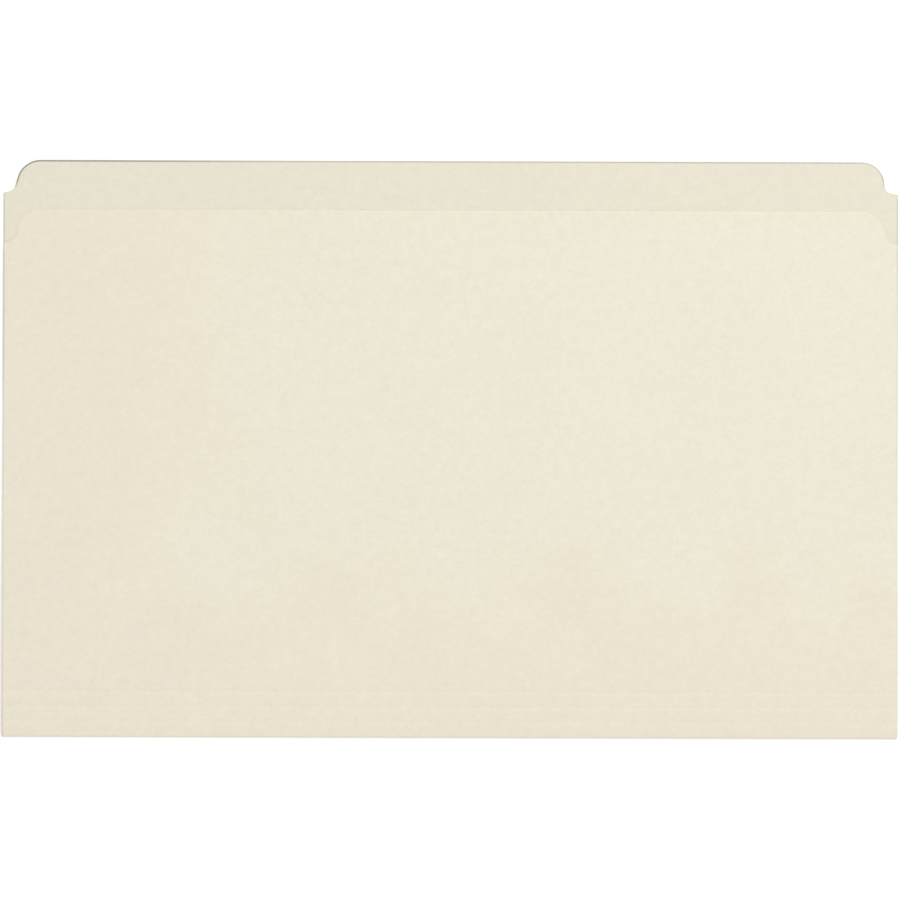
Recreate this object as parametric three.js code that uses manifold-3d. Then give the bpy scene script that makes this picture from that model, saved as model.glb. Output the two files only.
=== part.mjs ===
import * as THREE from "three";
import { mergeVertices } from "three/addons/utils/BufferGeometryUtils.js";
import Module from "manifold-3d";

// A legal-size, straight-cut file folder, shut and lying on its back panel.
// The real one is a single die-cut sheet of manila stock. Its creases part it into two panels,
// three base strips and a soft fold, and each of these is a piece here, with a hinge gap at
// every crease. +X runs along the fold, +Y from the fold to the tab, +Z up through the thickness.

// Driving dimensions, in millimetres and degrees
const sheetWidth = 374.65; // along the fold, 14 3/4 in
const backHeight = 241.3; // fold edge to the tab's top edge, 9 1/2 in
const frontHeight = 220.65; // fold edge to the flap's top edge, 8 11/16 in
const sheetThickness = 0.28; // 11 point stock
const closedGap = 1.0; // between the two panels when shut, and across the inside of the fold

// The ends of the tab and of the front flap, each cut in an S from the top edge to the side edge
const cornerReach = 15.1; // the side edge to where the top edge's corner starts
const cornerRadius = 9.3; // the round corner at the top edge
const footRadius = 3.5; // the hollow where an end meets its shoulder
const shoulderSlope = 15; // the shoulders fall from the foot towards the side edges

// The ends are alike in pairs: the tab's left end and the flap's right end lean outwards
const leaningEnd = { lean: 18, flank: 4.5 };
const uprightEnd = { lean: 0, flank: 0.1 };

const scoreCount = 3; // pressed lines for 1/4, 1/2 and 3/4 in of expansion
const scorePitch = 6.35; // fold edge to the first score, and score to score
const scoreDepth = 0.12; // how far a pressed line sinks into the outer face
const scoreWidth = 3; // the shallow groove's whole width

// Clearances, in millimetres
const hingeGap = 0.3; // between pieces that meet at a crease
const sweepClearance = 0.1; // round the fold's legs as they swing past a panel's edge

// Facets
const cornerSegments = 14;
const foldSegments = 28;
const scoreSegments = 6;

// Worked out from the driving dimensions
const halfWidth = sheetWidth / 2;
const foldEdgeY = -backHeight / 2;
const tabTopY = foldEdgeY + backHeight;
const flapTopY = foldEdgeY + frontHeight;

const frontInnerZ = sheetThickness + closedGap;

const foldInnerRadius = closedGap / 2;
const foldOuterRadius = foldInnerRadius + sheetThickness;
const foldAxisY = foldEdgeY + foldOuterRadius;
const foldAxisZ = foldOuterRadius;

// A flat piece starts this far from the fold's axis, out of the round wall's way.
const panelReach = foldOuterRadius + hingeGap;
const panelStartY = foldAxisY + panelReach;

// The fold's straight legs reach towards the panels, but their outer corners still pass
// inside the nearest corner of a panel.
const legSweepRadius = Math.hypot(panelReach, foldInnerRadius) - sweepClearance;
const foldLeg = Math.sqrt(legSweepRadius ** 2 - foldOuterRadius ** 2);

const lastScoreY = scoreY(scoreCount);

function scoreY(number) {
  return foldEdgeY + number * scorePitch;
}

// Stock colours: the flap's outer face is a shade lighter than the face inside
const outerStock = new THREE.MeshStandardMaterial({ color: 0xeee8d5, roughness: 0.85 });
const innerStock = new THREE.MeshStandardMaterial({ color: 0xeae4d2, roughness: 0.88 });

const folder = new THREE.Group();

const wasm = await Module();
wasm.setup();

// A closed three.js geometry as a solid that can be joined to another
function toSolid(geometry) {
  const bare = geometry.index ? geometry.toNonIndexed() : geometry.clone();
  bare.deleteAttribute("normal");
  bare.deleteAttribute("uv");
  const merged = mergeVertices(bare, 1e-4);
  return new wasm.Manifold(
    new wasm.Mesh({
      numProp: 3,
      vertProperties: merged.attributes.position.array,
      triVerts: new Uint32Array(merged.index.array),
    }),
  );
}

function toGeometry(solid) {
  const mesh = solid.getMesh();
  const geometry = new THREE.BufferGeometry();
  geometry.setAttribute("position", new THREE.BufferAttribute(mesh.vertProperties, 3));
  geometry.setIndex(new THREE.BufferAttribute(mesh.triVerts, 1));
  geometry.computeVertexNormals();
  return geometry;
}

// A flat piece of the sheet: its outline in X and Y, thickened upwards from bottomZ
function flatSheet(outline, bottomZ) {
  const geometry = new THREE.ExtrudeGeometry(outline, {
    depth: sheetThickness,
    bevelEnabled: false,
    curveSegments: cornerSegments,
  });
  return geometry.translate(0, 0, bottomZ);
}

// A section drawn in Y and Z, drawn out along the whole width of the sheet
function alongFold(section, segments) {
  const geometry = new THREE.ExtrudeGeometry(section, {
    depth: sheetWidth,
    bevelEnabled: false,
    curveSegments: segments,
  });
  const drawnToPlaced = new THREE.Matrix4().makeBasis(
    new THREE.Vector3(0, 1, 0),
    new THREE.Vector3(0, 0, 1),
    new THREE.Vector3(1, 0, 0),
  );
  return geometry.applyMatrix4(drawnToPlaced).translate(-halfWidth, 0, 0);
}

function addPiece(name, geometry, material) {
  const piece = new THREE.Mesh(geometry, material);
  piece.name = name;
  folder.add(piece);
}

// The cut of one end, in from the side edge and down from the top edge: where its corner and
// its foot are centred, and how far below the top edge its shoulder reaches the side edge.
function endCut({ lean, flank }) {
  const tilt = THREE.MathUtils.degToRad(lean);
  const slope = THREE.MathUtils.degToRad(shoulderSlope);
  const footIn =
    cornerReach - (cornerRadius + footRadius) * Math.cos(tilt) - flank * Math.sin(tilt);
  const footDown =
    cornerRadius - (cornerRadius + footRadius) * Math.sin(tilt) + flank * Math.cos(tilt);
  const shoulderIn = footIn + footRadius * Math.sin(slope);
  const drop = footDown + footRadius * Math.cos(slope) + shoulderIn * Math.tan(slope);
  return { tilt, slope, footIn, footDown, drop };
}

// A panel's outline above a straight lower edge. Each end is a round corner, a straight flank
// and a hollow foot, every one tangent to the next, with a sloping shoulder out to the side edge.
function panelOutline(startY, topY, leftEnd, rightEnd) {
  const left = endCut(leftEnd);
  const right = endCut(rightEnd);
  const cornerX = halfWidth - cornerReach;
  const cornerY = topY - cornerRadius;

  const outline = new THREE.Shape();
  outline.moveTo(-halfWidth, startY);
  outline.lineTo(halfWidth, startY);
  outline.lineTo(halfWidth, topY - right.drop);
  outline.absarc(
    halfWidth - right.footIn,
    topY - right.footDown,
    footRadius,
    -Math.PI / 2 - right.slope,
    -Math.PI + right.tilt,
    true,
  );
  outline.absarc(cornerX, cornerY, cornerRadius, right.tilt, Math.PI / 2, false);
  outline.absarc(-cornerX, cornerY, cornerRadius, Math.PI / 2, Math.PI - left.tilt, false);
  outline.absarc(
    left.footIn - halfWidth,
    topY - left.footDown,
    footRadius,
    -left.tilt,
    -Math.PI / 2 + left.slope,
    true,
  );
  outline.lineTo(-halfWidth, topY - left.drop);
  outline.closePath();
  return outline;
}

// The soft fold: a half round of the sheet with two short legs towards the panels
function foldSection() {
  const legY = foldAxisY + foldLeg;
  const section = new THREE.Shape();
  section.moveTo(legY, foldAxisZ - foldOuterRadius);
  section.absarc(foldAxisY, foldAxisZ, foldOuterRadius, -Math.PI / 2, -1.5 * Math.PI, true);
  section.lineTo(legY, foldAxisZ + foldOuterRadius);
  section.lineTo(legY, foldAxisZ + foldInnerRadius);
  section.absarc(foldAxisY, foldAxisZ, foldInnerRadius, Math.PI / 2, 1.5 * Math.PI, false);
  section.lineTo(legY, foldAxisZ - foldInnerRadius);
  section.closePath();
  return section;
}

// A stretch of the front sheet between two lines along the fold. Where it ends at a score, its
// edge is pressed down in an S-curve: half a groove outside, half a bead inside.
function stripSection(startY, endY, pressedStart, pressedEnd) {
  const outerZ = frontInnerZ + sheetThickness;
  const innerZ = frontInnerZ;
  const flank = scoreWidth / 2 - hingeGap / 2;
  const firstFlatY = pressedStart ? startY + flank : startY;
  const lastFlatY = pressedEnd ? endY - flank : endY;
  const startDrop = pressedStart ? scoreDepth : 0;
  const endDrop = pressedEnd ? scoreDepth : 0;
  const startMidY = (startY + firstFlatY) / 2;
  const endMidY = (endY + lastFlatY) / 2;

  const section = new THREE.Shape();
  section.moveTo(startY, innerZ - startDrop);
  if (pressedStart) {
    section.bezierCurveTo(startMidY, innerZ - startDrop, startMidY, innerZ, firstFlatY, innerZ);
  }
  section.lineTo(lastFlatY, innerZ);
  if (pressedEnd) {
    section.bezierCurveTo(endMidY, innerZ, endMidY, innerZ - endDrop, endY, innerZ - endDrop);
  }
  section.lineTo(endY, outerZ - endDrop);
  if (pressedEnd) {
    section.bezierCurveTo(endMidY, outerZ - endDrop, endMidY, outerZ, lastFlatY, outerZ);
  }
  section.lineTo(firstFlatY, outerZ);
  if (pressedStart) {
    section.bezierCurveTo(startMidY, outerZ, startMidY, outerZ - startDrop, startY, outerZ - startDrop);
  }
  section.closePath();
  return section;
}

const backOutline = panelOutline(panelStartY, tabTopY, leaningEnd, uprightEnd);
addPiece("back_panel", flatSheet(backOutline, 0), innerStock);

addPiece("fold_spine", alongFold(foldSection(), foldSegments), outerStock);

for (let number = 1; number <= scoreCount; number += 1) {
  const first = number === 1;
  const startY = first ? panelStartY : scoreY(number - 1) + hingeGap / 2;
  const endY = scoreY(number) - hingeGap / 2;
  const section = stripSection(startY, endY, !first, true);
  addPiece(`base_strip_${number}`, alongFold(section, scoreSegments), outerStock);
}

// The flap joins a pressed lower edge, drawn out along the fold, to its flat outline.
const flapEdgeY = lastScoreY + hingeGap / 2;
const flapEdgeEndY = lastScoreY + scorePitch;
const flapFlatY = lastScoreY + scoreWidth;
const pressedEdge = alongFold(stripSection(flapEdgeY, flapEdgeEndY, true, false), scoreSegments);
const flapOutline = panelOutline(flapFlatY, flapTopY, uprightEnd, leaningEnd);
const flatFlap = flatSheet(flapOutline, frontInnerZ);
const flap = toSolid(flatFlap).add(toSolid(pressedEdge));
addPiece("front_panel", toGeometry(flap), outerStock);

export default folder;
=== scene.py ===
import math

import bpy
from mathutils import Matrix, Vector


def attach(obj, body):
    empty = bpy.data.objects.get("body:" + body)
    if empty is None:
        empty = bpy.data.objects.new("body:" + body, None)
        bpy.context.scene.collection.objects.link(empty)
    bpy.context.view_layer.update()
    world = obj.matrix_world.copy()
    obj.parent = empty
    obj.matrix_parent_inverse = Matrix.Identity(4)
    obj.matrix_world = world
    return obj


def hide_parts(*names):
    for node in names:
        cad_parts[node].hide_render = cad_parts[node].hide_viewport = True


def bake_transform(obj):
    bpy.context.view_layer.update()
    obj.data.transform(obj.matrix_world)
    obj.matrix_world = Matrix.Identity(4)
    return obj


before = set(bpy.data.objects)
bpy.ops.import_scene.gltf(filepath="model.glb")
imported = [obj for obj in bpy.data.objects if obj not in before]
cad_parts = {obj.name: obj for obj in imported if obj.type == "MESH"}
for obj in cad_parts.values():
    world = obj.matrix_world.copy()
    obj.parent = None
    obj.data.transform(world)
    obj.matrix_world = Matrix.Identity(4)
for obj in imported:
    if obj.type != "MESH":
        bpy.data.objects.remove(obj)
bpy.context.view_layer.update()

# A shut file folder lying on its back panel, seen from straight above. The real one is a single
# sheet of manila stock, so its five pieces run into each other without a gap. Lengths in the
# dictionaries are in millimetres and angles in degrees, unless a note says otherwise.

mm = 0.001
touching = 0.001              # places closer together than this are one

sheet = {
    "width": 374.65,
    "thickness": 0.28,
    "height": 1.56,           # both panels and the gap between them
    "foldEdge": -120.65,      # outermost line of the bottom fold
    "cutRounding": 0.05,      # the die rounds the cut edges this much
    "cutSteps": 2,
    "rim": 0.75,              # width of the rim of painted edge shade along a cut edge
    "panelGrid": 6.0,         # spacing of the cuts that let a panel undulate
    "stripGrid": 24.0,        # spacing of the cuts across a narrow strip
}

halfWidth = sheet["width"] / 2
upwards, downwards = Vector((0, 0, 1)), Vector((0, 0, -1))


def ease(t):
    t = min(1.0, max(0.0, t))
    return t * t * (3 - 2 * t)


def between(value, start, end):
    # 0 before the start and 1 past the end, with a soft step on the way
    return ease((value - start) / (end - start))


# Modelling in edit mode

def selectNone():
    if bpy.context.object and bpy.context.object.mode != "OBJECT":
        bpy.ops.object.mode_set(mode="OBJECT")
    bpy.ops.object.select_all(action="DESELECT")


def selectOnly(piece):
    selectNone()
    piece.select_set(True)
    bpy.context.view_layer.objects.active = piece


def edit(piece, kind="VERT"):
    selectOnly(piece)
    bpy.ops.object.mode_set(mode="EDIT")
    bpy.ops.mesh.select_mode(type=kind)


def done():
    bpy.ops.object.mode_set(mode="OBJECT")


def pickPoints(piece, test):
    # selects the vertices whose place passes the test
    bpy.ops.mesh.select_mode(type="VERT")
    bpy.ops.mesh.select_all(action="DESELECT")
    done()
    for vertex in piece.data.vertices:
        vertex.select = test(vertex.co / mm)
    bpy.ops.object.mode_set(mode="EDIT")


def addRectangle(name, lowX, highX, lowY, highY, z):
    selectNone()
    centre = Vector(((lowX + highX) / 2, (lowY + highY) / 2, z)) * mm
    bpy.ops.mesh.primitive_plane_add(size=1, location=centre)
    piece = bpy.context.object
    piece.name = piece.data.name = name
    piece.scale = ((highX - lowX) * mm, (highY - lowY) * mm, 1)
    bpy.ops.object.transform_apply(location=True, rotation=True, scale=True)
    return piece


def moveBy(x, y, z):
    bpy.ops.transform.translate(value=Vector((x, y, z)) * mm)


def extrudeEdge(x, y, z):
    bpy.ops.mesh.extrude_region_move(TRANSFORM_OT_translate={"value": Vector((x, y, z)) * mm})


def cutAcross(axis, places):
    # straight cuts through the whole piece, square to an axis
    normal = [0, 0, 0]
    normal[axis] = 1
    for place in places:
        point = [0, 0, 0]
        point[axis] = place * mm
        bpy.ops.mesh.select_all(action="SELECT")
        bpy.ops.mesh.bisect(plane_co=point, plane_no=normal)


def evenly(low, high, step):
    count = max(1, round((high - low) / step))
    return [low + (high - low) * i / count for i in range(1, count)]


def cutColumns():
    # a strip is cut into columns, with a narrow one along each side for the painted edge shade
    columns = evenly(-halfWidth, halfWidth, sheet["stripGrid"])
    cutAcross(0, [sheet["rim"] - halfWidth, *columns, halfWidth - sheet["rim"]])


def ringOutline(piece):
    # a narrow ring inside a panel's outline, for the painted shade along the cut edges
    edit(piece, "FACE")
    bpy.ops.mesh.select_all(action="SELECT")
    bpy.ops.mesh.inset(thickness=sheet["rim"] * mm, depth=0)
    cutAcross(0, (sheet["rim"] - halfWidth, halfWidth - sheet["rim"]))
    done()


def thicken(piece):
    # the drawn face is the outer one, and the stock lies behind it
    selectOnly(piece)
    ply = piece.modifiers.new("ply", "SOLIDIFY")
    ply.thickness = sheet["thickness"] * mm
    ply.offset = -1
    ply.use_even_offset = True
    bpy.ops.object.modifier_apply(modifier="ply")


def roundCutEdges(piece, isCut):
    # only the die-cut outline is rounded, so that the pieces run into each other at the seams
    edit(piece, "EDGE")
    bpy.ops.mesh.select_all(action="DESELECT")
    done()
    mesh = piece.data
    faceNormals = {}
    for face in mesh.polygons:
        for key in face.edge_keys:
            faceNormals.setdefault(key, []).append(face.normal.copy())
    for edge in mesh.edges:
        first, second = faceNormals[edge.key]
        sharp = first.dot(second) < 0.5    # the two faces meet at more than 60 degrees
        edge.select = sharp and isCut(*(mesh.vertices[i].co / mm for i in edge.vertices))
    bpy.ops.object.mode_set(mode="EDIT")
    bpy.ops.mesh.bevel(
        offset=sheet["cutRounding"] * mm, offset_type="OFFSET",
        segments=sheet["cutSteps"], affect="EDGES", clamp_overlap=True,
    )
    done()


def move(piece, lift):
    # settles the sheet by a small lift at each point, the stock's two faces together
    for vertex in piece.data.vertices:
        vertex.co.z += lift(vertex.co.x / mm, vertex.co.y / mm) * mm
    piece.data.update()


def smooth(piece, degrees=30):
    selectOnly(piece)
    bpy.ops.object.shade_smooth_by_angle(angle=math.radians(degrees))


# The run of the sheet: it comes round from the back in an arc that stops short of a half turn,
# and the front then climbs out of it at a slight slope until it lies flat.

fold = {
    "slope": 7.0,             # of the front where it leaves the arc
    "climb": 5.6,             # length of the climb
    "climbSteps": 14,
    "arcSteps": 28,
    "smoothUpTo": 40,         # facets that meet at less than this are shaded smooth
}

slope = math.radians(fold["slope"])
rise = fold["climb"] * math.tan(slope) / 2
foldRadius = (sheet["height"] - rise) / (1 + math.cos(slope))
foldCentre = sheet["foldEdge"] + foldRadius
midRadius = foldRadius - sheet["thickness"] / 2
arcLength = midRadius * (math.pi - slope)
climbStart = foldCentre - foldRadius * math.sin(slope)


def frontLevel(y):
    # height of the front's outer face above the table
    t = min(1.0, max(0.0, (y - climbStart) / fold["climb"]))
    return sheet["height"] - rise * (1 - t) ** 2


# How far along the unfolded sheet a point lies, from the seam between the back and the arc

def backAlong(point):
    return foldCentre - point.y


def arcAlong(point):
    angle = math.atan2(point.z - foldRadius, point.y - foldCentre)
    turned = (-math.pi / 2 - angle) % (2 * math.pi)
    if turned > 1.5 * math.pi:
        turned -= 2 * math.pi
    return midRadius * turned


def frontAlong(point):
    return arcLength + (point.y - climbStart)


def roundOutwards(point):
    # the way the arc's outer face looks
    return Vector((0, point.y - foldCentre, point.z - foldRadius)).normalized()


def layOut(piece, alongSheet):
    # the unfolded sheet as a UV map, in metres, so that the stock's pattern runs on at the creases
    mesh = piece.data
    layer = mesh.uv_layers.new(name="sheet")
    for loop in mesh.loops:
        point = mesh.vertices[loop.vertex_index].co / mm
        layer.data[loop.index].uv = (point.x * mm, alongSheet(point) * mm)


# Manila stock. Both faces carry the same faint clouding, mottle and fibres, which follow the
# sheet as it was before it was folded. A pattern's size is that of one blotch, stretch is how
# much it is spread across the sheet, and strength is how far it lightens and darkens.

stock = {
    "outer": (0.855, 0.811, 0.669),
    "inner": (0.820, 0.770, 0.636),
    "core": (0.79, 0.735, 0.60),
    "warmTint": (1.0, 0.972, 0.970),    # tint of the front's left end and of the stretch by the fold
    "warmLeft": (-150.0, -70.0),    # across this stretch the left end's tint fades out
    "warmBack": (-120.0, 0.0),      # the left end's tint sets in here, from the back to the front
    "warmFold": (30.0, 85.0),       # the fold's tint fades out on this stretch, away from it
    "warmSway": 160.0,              # how unevenly the tints fade
    "cloud": {"size": 45.0, "detail": 3, "stretch": 1.0, "distortion": 0.0, "strength": 0.010},
    "mottle": {"size": 4.2, "detail": 3, "stretch": 1.0, "distortion": 0.4, "strength": 0.024},
    "grain": {"size": 1.6, "detail": 3, "stretch": 1.0, "distortion": 0.0, "strength": 0.024},
    "fibres": {"size": 0.75, "detail": 2, "stretch": 0.45, "distortion": 1.2, "strength": 0.014},
    "flecks": {"size": 1.3, "detail": 2, "stretch": 0.35, "distortion": 2.0},
    "noiseRoughness": 0.6,
    "swing": (0.25, 0.75),          # most of a pattern's values lie between these
    "fleckFrom": (0.66, 0.74),      # from these values on, a pattern's peaks are flecks
    "fleckShade": 0.955,            # how much light a fleck returns
    "darkestEdgeShade": 0.06,              # how much light the paper returns under the darkest painted edge shade
    "cutStrength": 2.2,             # the patterns are this much stronger on a raw cut
    "gloss": 0.3,
    "roughness": (0.75, 0.86),
    "roughnessFrom": (0.3, 0.7),    # the grain's values that give these roughnesses
    "tooth": 0.02,                  # depth of the paper's tooth
    "toothStrength": 0.35,
    "toothOf": (0.6, 0.4),          # shares of the grain and of the fibres in the tooth
}


def link(tree, output, target):
    tree.links.new(output, target)


def mathNode(tree, kind, first, second):
    made = tree.nodes.new("ShaderNodeMath")
    made.operation = kind
    for i, value in enumerate((first, second)):
        if isinstance(value, (int, float)):
            made.inputs[i].default_value = value
        else:
            link(tree, value, made.inputs[i])
    return made.outputs["Value"]


def spanNode(tree, value, fromSpan, toSpan, soft=False):
    # carries a value over from one span to another
    made = tree.nodes.new("ShaderNodeMapRange")
    if soft:
        made.interpolation_type = "SMOOTHSTEP"
    names = ("From Min", "From Max", "To Min", "To Max")
    for name, number in zip(names, (*fromSpan, *toSpan)):
        made.inputs[name].default_value = number
    link(tree, value, made.inputs["Value"])
    return made.outputs["Result"]


def noiseNode(tree, place, pattern):
    mapping = tree.nodes.new("ShaderNodeMapping")
    mapping.inputs["Scale"].default_value = (pattern["stretch"], 1, 1)
    link(tree, place, mapping.inputs["Vector"])
    made = tree.nodes.new("ShaderNodeTexNoise")
    made.inputs["Scale"].default_value = 1 / (pattern["size"] * mm)
    made.inputs["Detail"].default_value = pattern["detail"]
    made.inputs["Roughness"].default_value = stock["noiseRoughness"]
    made.inputs["Distortion"].default_value = pattern["distortion"]
    link(tree, mapping.outputs["Vector"], made.inputs["Vector"])
    return made.outputs["Fac"]


def dim(tree, colour, amount):
    made = tree.nodes.new("ShaderNodeVectorMath")
    made.operation = "SCALE"
    link(tree, colour, made.inputs[0])
    link(tree, amount, made.inputs["Scale"])
    return made.outputs["Vector"]


def warmedColour(tree, colour, place, cloud):
    # the front's left end and the paper by the fold are a little warmer, with uneven borders
    split = tree.nodes.new("ShaderNodeSeparateXYZ")
    link(tree, place, split.inputs["Vector"])
    across, along = split.outputs["X"], split.outputs["Y"]
    leftFade, backFade, foldFade = (
        [edge * mm for edge in stock[key]] for key in ("warmLeft", "warmBack", "warmFold")
    )
    sway = mathNode(tree, "SUBTRACT", cloud, 0.5)
    sway = mathNode(tree, "MULTIPLY", sway, stock["warmSway"] * mm)
    left = spanNode(tree, mathNode(tree, "ADD", across, sway), leftFade, (1, 0), soft=True)
    left = mathNode(tree, "MULTIPLY", left, spanNode(tree, along, backFade, (0, 1), soft=True))
    fromFold = mathNode(tree, "ADD", mathNode(tree, "ABSOLUTE", along, 0), sway)
    nearFold = spanNode(tree, fromFold, foldFade, (1, 0), soft=True)

    mix = tree.nodes.new("ShaderNodeMix")
    mix.data_type = "RGBA"
    mix.inputs["A"].default_value = (*colour, 1)
    mix.inputs["B"].default_value = (*(c * a for c, a in zip(colour, stock["warmTint"])), 1)
    link(tree, mathNode(tree, "MAXIMUM", left, nearFold), mix.inputs["Factor"])
    return mix.outputs["Result"]


def manila(name, colour, strength=1.0):
    material = bpy.data.materials.new(name)
    material.use_nodes = True
    tree = material.node_tree
    shader = tree.nodes["Principled BSDF"]
    shader.inputs["Specular IOR Level"].default_value = stock["gloss"]

    sheetMap = tree.nodes.new("ShaderNodeUVMap")
    sheetMap.uv_map = "sheet"
    place = sheetMap.outputs["UV"]
    kinds = ("cloud", "mottle", "grain", "fibres")
    patterns = {kind: noiseNode(tree, place, stock[kind]) for kind in kinds}

    shade = warmedColour(tree, colour, place, patterns["cloud"])
    for kind in kinds:
        change = stock[kind]["strength"] * strength
        light = spanNode(tree, patterns[kind], stock["swing"], (1 - change, 1 + change))
        shade = dim(tree, shade, light)

    # light brown fibres lie thinly scattered in the pulp
    flecks = noiseNode(tree, place, stock["flecks"])
    flecks = spanNode(tree, flecks, stock["fleckFrom"], (1, stock["fleckShade"]), soft=True)
    shade = dim(tree, shade, flecks)

    # painted shade darkens a hair line along the cut edges, and where the value is negative a
    # painted highlight lightens the edge instead
    edgeShadeAndHighlight = tree.nodes.new("ShaderNodeAttribute")
    edgeShadeAndHighlight.attribute_name = "edgeShadeAndHighlight"
    edgeShade = stock["darkestEdgeShade"]
    shade = dim(tree, shade, spanNode(tree, edgeShadeAndHighlight.outputs["Fac"], (-1, 1), (2 - edgeShade, edgeShade)))
    link(tree, shade, shader.inputs["Base Color"])

    roughness = spanNode(tree, patterns["grain"], stock["roughnessFrom"], stock["roughness"])
    link(tree, roughness, shader.inputs["Roughness"])

    # the felt side of the paper: a soft tooth with the fibres on top
    softShare, fibreShare = stock["toothOf"]
    softTooth = mathNode(tree, "MULTIPLY", patterns["grain"], softShare)
    fibreTooth = mathNode(tree, "MULTIPLY", patterns["fibres"], fibreShare)
    bump = tree.nodes.new("ShaderNodeBump")
    bump.inputs["Strength"].default_value = stock["toothStrength"]
    bump.inputs["Distance"].default_value = stock["tooth"] * mm
    link(tree, mathNode(tree, "ADD", softTooth, fibreTooth), bump.inputs["Height"])
    link(tree, bump.outputs["Normal"], shader.inputs["Normal"])
    return material


materials = {
    "outer": manila("manila_outer_face", stock["outer"]),
    "inner": manila("manila_inner_face", stock["inner"]),
    "core": manila("manila_cut_edge", stock["core"], stock["cutStrength"]),
}


def paint(piece, *finishes):
    piece.data.materials.clear()
    for finish in finishes:
        piece.data.materials.append(finish)


def paintSheet(piece, outwards):
    # the outer face, the inner face and the cut edges each get their own finish;
    # outwards gives the way the outer face looks at a point of the sheet
    paint(piece, materials["outer"], materials["inner"], materials["core"])
    for face in piece.data.polygons:
        facing = face.normal.dot(outwards(face.center / mm))
        face.material_index = 0 if facing > 0.4 else 1 if facing < -0.4 else 2


# Painted shade along the cut edges, from 0 for none to 1 for the darkest, along the Y axis

sideShade = {
    "left": {"least": 0.17, "rises": ((15, 40, 0.22), (-105, -115, 0.12))},   # from, to, how much
    "right": {"least": 0.04, "rises": ((-50, 30, 0.11), (45, 95, 0.16))},
}


def shadeOfSide(x, y):
    # the painted shade on the sides is darker towards the tab, and on the left more than on the
    # right
    side = sideShade["left" if x < 0 else "right"]
    return side["least"] + sum(more * between(y, start, end) for start, end, more in side["rises"])


def isNear(stretch, x, y):
    # a quick test that leaves out most of an outline
    (ax, ay), (bx, by) = stretch
    reach = sheet["rim"]
    return (min(ax, bx) - reach <= x <= max(ax, bx) + reach
            and min(ay, by) - reach <= y <= max(ay, by) + reach)


def distanceTo(stretch, x, y):
    (ax, ay), (bx, by) = stretch
    dx, dy = bx - ax, by - ay
    t = min(1, max(0, ((x - ax) * dx + (y - ay) * dy) / (dx * dx + dy * dy)))
    return math.hypot(x - ax - t * dx, y - ay - t * dy)


def markEdgeShading(piece, outline, shadingAt):
    # how much painted shade each point gets: most on the cut edge, none past the rim
    wear = piece.data.attributes.new("edgeShadeAndHighlight", "FLOAT", "POINT")
    stretches = list(zip(outline, outline[1:]))
    for vertex in piece.data.vertices:
        x, y = vertex.co.x / mm, vertex.co.y / mm
        distances = [distanceTo(s, x, y) for s in stretches if isNear(s, x, y)]
        away = min([sheet["rim"], *distances])
        wear.data[vertex.index].value = (1 - away / sheet["rim"]) * shadingAt(x, y)


# The panels. The ends of the tab and of the flap are cut in an S, from the top edge to the
# side edge, and alike in pairs: the tab's left end and the flap's right end lean outwards.

cutEnd = {
    "reach": 15.1,            # from the side edge to where the top edge's corner starts
    "round": 9.3,
    "foot": 3.5,
    "shoulderSlope": 15.0,
    "roundSteps": 16,
    "footSteps": 8,
}

leaning = {"lean": 18.0, "flank": 4.5}
upright = {"lean": 0.0, "flank": 0.1}


def endCorners(end):
    # the sharp corners behind an end's rounds: how far in from the side, how far down from the
    # top edge, and how far a round reaches from its corner
    lean, shoulder = math.radians(end["lean"]), math.radians(cutEnd["shoulderSlope"])
    topReach = cutEnd["round"] * math.tan((math.pi / 2 - lean) / 2)
    footReach = cutEnd["foot"] * math.tan((math.pi / 2 - lean - shoulder) / 2)
    side = topReach + end["flank"] + footReach
    topIn = cutEnd["reach"] - topReach
    footIn, footDown = topIn - side * math.sin(lean), side * math.cos(lean)
    return {
        "topIn": topIn, "topReach": topReach,
        "footIn": footIn, "footDown": footDown, "footReach": footReach,
        "drop": footDown + footIn * math.tan(shoulder),
    }


def makePanel(name, seam, topY, z, leftEnd, rightEnd):
    # a panel's blank with its two cut ends, from its seam up
    piece = addRectangle(name, -halfWidth, halfWidth, seam, topY, z)
    edit(piece)
    ends = ((-1, endCorners(leftEnd)), (1, endCorners(rightEnd)))
    for side, end in ends:
        # two cuts across the panel give the end its corners, which are then pulled inwards
        footY = topY - end["footDown"]
        cutAcross(1, (topY - end["drop"], footY))
        for y, inwards in ((topY, end["topIn"]), (footY, end["footIn"])):
            tip = Vector((side * halfWidth, y, z))
            pickPoints(piece, lambda p: (p - tip).length < touching)
            moveBy(-side * inwards, 0, 0)
        bpy.ops.mesh.select_all(action="SELECT")
        bpy.ops.mesh.dissolve_limited(angle_limit=math.radians(1))

    # the round corners and the hollow feet
    for side, end in ends:
        for y, reach, steps in ((topY, end["topReach"], cutEnd["roundSteps"]),
                                (topY - end["footDown"], end["footReach"], cutEnd["footSteps"])):
            pickPoints(piece, lambda p: side * p.x > 0 and abs(p.y - y) < touching)
            bpy.ops.mesh.bevel(offset=reach * mm, offset_type="OFFSET", affect="VERTICES",
                               segments=steps, profile=0.5)
    done()
    return piece


def outlineOf(piece, seam):
    # the cut outline of a blank as a chain of points, from one end of the seam to the other
    corners = [piece.data.vertices[i].co / mm for i in piece.data.polygons[0].vertices]
    onSeam = [abs(p.y - seam) < touching for p in corners]
    count = len(corners)
    start = next(i for i in range(count) if onSeam[i] and not onSeam[(i + 1) % count])
    return [(corners[(start + i) % count].x, corners[(start + i) % count].y) for i in range(count)]


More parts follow.
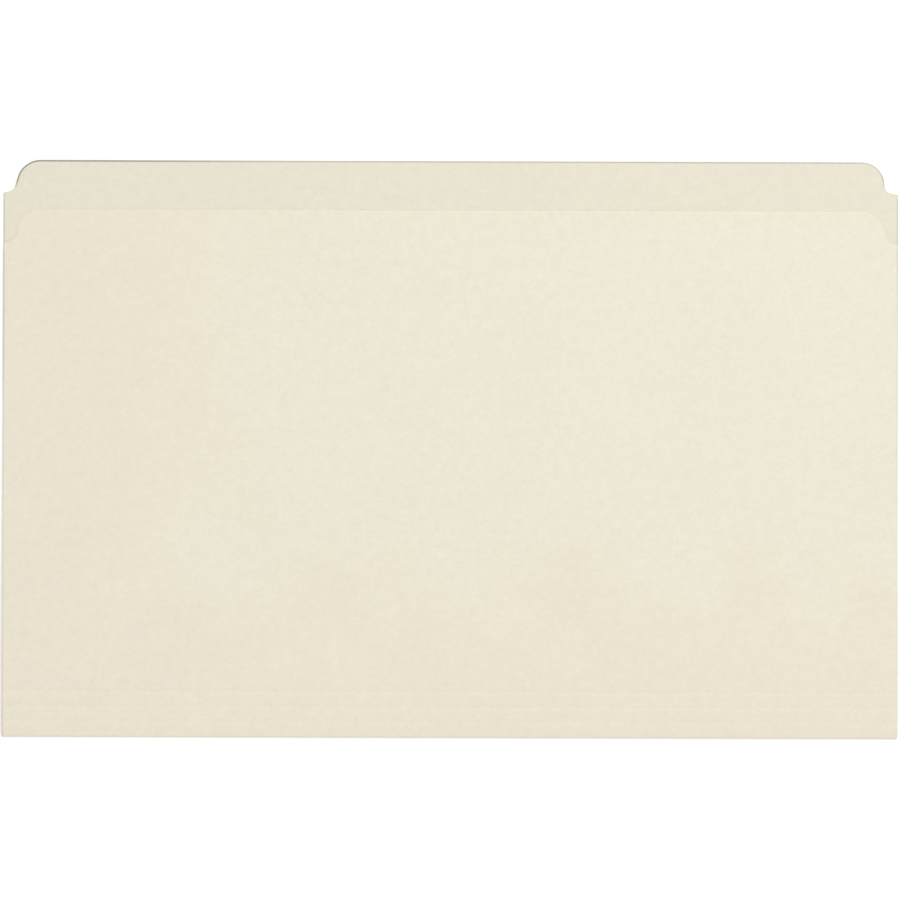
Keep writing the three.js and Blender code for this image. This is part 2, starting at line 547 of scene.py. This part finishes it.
def finishPanel(piece, seam, topY, shadingAt, alongSheet, outwards, lift):
    outline = outlineOf(piece, seam)
    ringOutline(piece)
    edit(piece)
    cutAcross(0, evenly(-halfWidth, halfWidth, sheet["panelGrid"]))
    cutAcross(1, evenly(seam, topY, sheet["panelGrid"]))
    done()
    thicken(piece)
    roundCutEdges(piece, lambda a, b: max(a.y, b.y) > seam + touching)
    markEdgeShading(piece, outline, shadingAt)
    layOut(piece, alongSheet)
    paintSheet(piece, lambda p: outwards)
    move(piece, lift)
    smooth(piece)


# Back panel with its straight-cut tab

back = {
    "topEdge": 120.65,
    "curl": 0.24,             # how far the tab's free edge lifts off the table
    "curlFrom": 98.0,
    "edgeShade": (108.8, 112.0),   # the tab's painted shade starts above its feet
    "paler": (-140.0, -55.0, 0.5),    # between these, the top edge's painted shade falls by this much
    "cornerFade": ((171.0, 174.0), (114.0, 117.0), 0.2),    # so does the right corner's, across and up
    "unshaded": (108.3, 105.8),  # the shoulders carry none of the sides' painted shade
}


# painted shade along the tab's top edge and on its sides
def tabShade(x, y):
    paleStart, paleEnd, paler = back["paler"]
    across, up, cornerFade = back["cornerFade"]
    tab = 1 - paler * between(x, paleStart, paleEnd)
    tab -= cornerFade * between(x, *across) * between(y, *up)
    return tab * between(y, *back["edgeShade"]) + shadeOfSide(x, y) * between(y, *back["unshaded"])


def tabLift(x, y):
    # the tab curls up unevenly along its length
    uneven = 0.7 + 0.3 * math.sin(x / 43 + 0.6)
    return back["curl"] * uneven * between(y, back["curlFrom"], back["topEdge"])


print("stage: back")
backSheet = makePanel("back_sheet", foldCentre, back["topEdge"], sheet["thickness"],
                      leaning, upright)
finishPanel(backSheet, foldCentre, back["topEdge"], tabShade, backAlong, downwards, tabLift)
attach(backSheet, "back")
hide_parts("back_panel")


# The fold and the strips of the base

score = {
    "first": -114.30,
    "pitch": 6.35,
    "depths": (0.08, 0.12, 0.12),   # the line next to the fold is the faintest
    "width": 3.0,
    "steps": 12,
    "hingeReach": 2.0,        # the sheet bends this far to either side of the last score
    "turnReach": 1.5,         # and the turn is spread out over this much of it
}

scorePlaces = [score["first"] + i * score["pitch"] for i in range(len(score["depths"]))]
lastScore = scorePlaces[-1]
bendStart, bendEnd = lastScore - score["hingeReach"], lastScore + score["hingeReach"]


def grooveDepth(y):
    for line, depth in zip(scorePlaces, score["depths"]):
        away = abs(y - line) / (score["width"] / 2)
        if away < 1:
            return depth * (1 + math.cos(math.pi * away)) / 2
    return 0.0


def makeArc():
    # the sheet's cut section, upright under the back's edge, turned round the fold
    selectNone()
    centre = Vector((0, foldCentre, sheet["thickness"] / 2)) * mm
    bpy.ops.mesh.primitive_plane_add(size=1, location=centre, rotation=(math.pi / 2, 0, 0))
    piece = bpy.context.object
    piece.name = piece.data.name = "fold_round"
    piece.scale = (sheet["width"] * mm, sheet["thickness"] * mm, 1)
    bpy.ops.object.transform_apply(location=True, rotation=True, scale=True)
    edit(piece)
    bpy.ops.mesh.select_all(action="SELECT")
    bpy.ops.mesh.spin(steps=fold["arcSteps"], angle=math.pi - slope, dupli=False,
                      center=Vector((0, foldCentre, foldRadius)) * mm, axis=(1, 0, 0))
    cutColumns()
    done()
    return piece


def stripStops(start, end):
    # where a strip's outer face is drawn: dense over the climb and the scores, sparse between
    stops = {round(start, 4), round(end, 4)}
    for i in range(1, fold["climbSteps"]):
        stops.add(round(climbStart + fold["climb"] * i / fold["climbSteps"], 4))
    for line in scorePlaces:
        for i in range(score["steps"] + 1):
            stops.add(round(line + score["width"] * (i / score["steps"] - 0.5), 4))
    return sorted(s for s in stops if start - touching < s < end + touching)


def makeStrip(name, start, end):
    # a strip along the fold, drawn from stop to stop
    stops = stripStops(start, end)
    heights = [frontLevel(y) - grooveDepth(y) for y in stops]
    piece = addRectangle(name, -halfWidth, halfWidth, stops[0], stops[1], heights[0])
    edit(piece)
    pickPoints(piece, lambda p: p.y > stops[1] - touching)
    moveBy(0, 0, heights[1] - heights[0])
    for i in range(2, len(stops)):
        extrudeEdge(0, stops[i] - stops[i - 1], heights[i] - heights[i - 1])
    cutColumns()
    done()
    thicken(piece)
    return piece


def sideEdges(alongSheet):
    # picks the edges that run along the two sides, so that the seams stay square
    def isCut(a, b):
        atSide = min(abs(a.x), abs(b.x)) > halfWidth - touching
        return atSide and abs(alongSheet(a) - alongSheet(b)) > (a - b).length / 2

    return isCut


def finishStrip(piece, alongSheet, outwards, smoothUpTo=30):
    # the outline passes along both sides, well past the ends of any strip
    beyond = [(-halfWidth, -130), (-halfWidth, 90), (halfWidth, 90), (halfWidth, -130)]
    roundCutEdges(piece, sideEdges(alongSheet))
    markEdgeShading(piece, beyond, shadeOfSide)
    layOut(piece, alongSheet)
    paintSheet(piece, outwards)
    smooth(piece, smoothUpTo)


print("stage: fold")
arc = makeArc()
finishStrip(arc, arcAlong, roundOutwards, fold["smoothUpTo"])
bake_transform(arc)
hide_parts("fold_spine")

print("stage: base")
base = makeStrip("base_sheet", climbStart, bendStart)
finishStrip(base, frontAlong, lambda p: upwards)
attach(base, "base")
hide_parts("base_strip_1", "base_strip_2", "base_strip_3")

crease = makeStrip("score_crease", bendStart, bendEnd)
finishStrip(crease, frontAlong, lambda p: upwards)
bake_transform(crease)


# Front flap, which comes down on to the back towards its free edge, in slow waves

flap = {
    "topEdge": 100.0,
    "restHeight": 0.60,       # outer face of the flap where it rests on the back at its free edge
    "droopFrom": -96.0,       # the flap starts to come down here
    "waves": 0.10,
    "wavesGrow": 45.0,        # the waves start over this length above the base
    "wavesEnd": 0.4,          # and die out over the last of the droop, this share of it
    "unshaded": (12.35, 14.85),  # below the free edge, where the sides' painted shade starts and is full
    "edgeHighlight": 0.03,             # the free edge has a painted highlight instead of painted shade
    "highlightFrom": 9.0,
}


# painted shade along the flap's sides, and a painted highlight along its free edge
def flapShading(x, y):
    top = flap["topEdge"]
    sideStart, sideFull = (top - below for below in flap["unshaded"])
    edgeHighlight = flap["edgeHighlight"] * between(y, top - flap["highlightFrom"], top)
    return shadeOfSide(x, y) * between(y, sideStart, sideFull) - edgeHighlight


def flapLift(x, y):
    start = flap["droopFrom"]
    drooped = between(y, start, flap["topEdge"])
    # two crossing trains of waves, which only ever push the flap down, and which die out where
    # it nears the back, so that it never sinks into it
    ripple = math.sin(x / 31 + 0.8 * math.sin(y / 47))
    ripple += 0.6 * math.sin(y / 22 + x / 67 + 1.3) - 1.6
    ripple *= between(y, start, start + flap["wavesGrow"])
    ripple *= between(drooped, 1, 1 - flap["wavesEnd"])
    return flap["waves"] * ripple - (sheet["height"] - flap["restHeight"]) * drooped


print("stage: front")
front = makePanel("front_sheet", bendEnd, flap["topEdge"], sheet["height"],
                  upright, leaning)
finishPanel(front, bendEnd, flap["topEdge"], flapShading, frontAlong, upwards, flapLift)
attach(front, "front")
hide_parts("front_panel")


# Table, light and camera, in metres

studio = {
    "cameraHeight": 1.2016,
    "cameraCentre": (-0.00006, -0.00022),
    "cameraRoll": 0.0028,     # in radians
    "lens": 114.72,           # in millimetres, like the sensor
    "sensor": 36,
    "skyStrength": 0.780,
    "sunStrength": 0.45,      # a wide soft light, even over the whole table
    "sunFrom": (0.40, 0.95, 1.65),
    "sunWidth": 28,           # as seen from the table, in degrees
    "lampPower": 0.62,        # a near lamp at the upper right, for the slow fall of light
    "lampFrom": (0.30, 0.34, 0.62),
    "lampSize": 0.3,
    "floorSize": 8,
    "floorColour": 0.92,
    "floorSeen": 1.12,        # the table is pure white to the camera, with its shadows
}


def makeFloor():
    selectNone()
    bpy.ops.mesh.primitive_plane_add(size=studio["floorSize"], location=(0, 0, 0))
    floor = bpy.context.object
    floor.name = "floor"
    white = bpy.data.materials.new("floor_white")
    white.use_nodes = True
    tree = white.node_tree
    shader = tree.nodes["Principled BSDF"]
    shader.inputs["Roughness"].default_value = 1
    shader.inputs["Specular IOR Level"].default_value = 0
    rays = tree.nodes.new("ShaderNodeLightPath")
    mix = tree.nodes.new("ShaderNodeMix")
    mix.data_type = "RGBA"
    mix.inputs["A"].default_value = (*(studio["floorColour"],) * 3, 1)
    mix.inputs["B"].default_value = (*(studio["floorSeen"],) * 3, 1)
    link(tree, rays.outputs["Is Camera Ray"], mix.inputs["Factor"])
    link(tree, mix.outputs["Result"], shader.inputs["Base Color"])
    paint(floor, white)


def makeSky():
    # an even sky that is plain white to the camera and in reflections
    world = bpy.data.worlds.new("studio")
    bpy.context.scene.world = world
    world.use_nodes = True
    tree = world.node_tree
    rays = tree.nodes.new("ShaderNodeLightPath").outputs
    seen = mathNode(tree, "MAXIMUM", rays["Is Camera Ray"], rays["Is Glossy Ray"])
    seen = mathNode(tree, "MAXIMUM", seen, rays["Is Transmission Ray"])
    sky = tree.nodes["Background"]
    sky.inputs["Color"].default_value = (1, 1, 1, 1)
    strength = spanNode(tree, seen, (0, 1), (studio["skyStrength"], 1))
    link(tree, strength, sky.inputs["Strength"])


def addLight(kind, name, place, strength, **settings):
    selectNone()
    bpy.ops.object.light_add(type=kind, location=place)
    light = bpy.context.object
    light.name = name
    light.rotation_euler = (Vector(place) * -1).to_track_quat("-Z", "Y").to_euler()
    light.data.energy = strength
    for setting, value in settings.items():
        setattr(light.data, setting, value)


print("stage: studio")
makeFloor()
makeSky()
addLight("SUN", "windowLight", studio["sunFrom"], studio["sunStrength"],
         angle=math.radians(studio["sunWidth"]))
addLight("AREA", "deskLamp", studio["lampFrom"], studio["lampPower"],
         shape="SQUARE", size=studio["lampSize"])

selectNone()
bpy.ops.object.camera_add(
    location=(*studio["cameraCentre"], studio["cameraHeight"]),
    rotation=(0, 0, studio["cameraRoll"]),
)
camera = bpy.context.object
camera.data.lens = studio["lens"]
camera.data.sensor_width = studio["sensor"]
camera.data.clip_start = 0.01
bpy.context.scene.camera = camera
bpy.context.scene.view_settings.view_transform = "Standard"
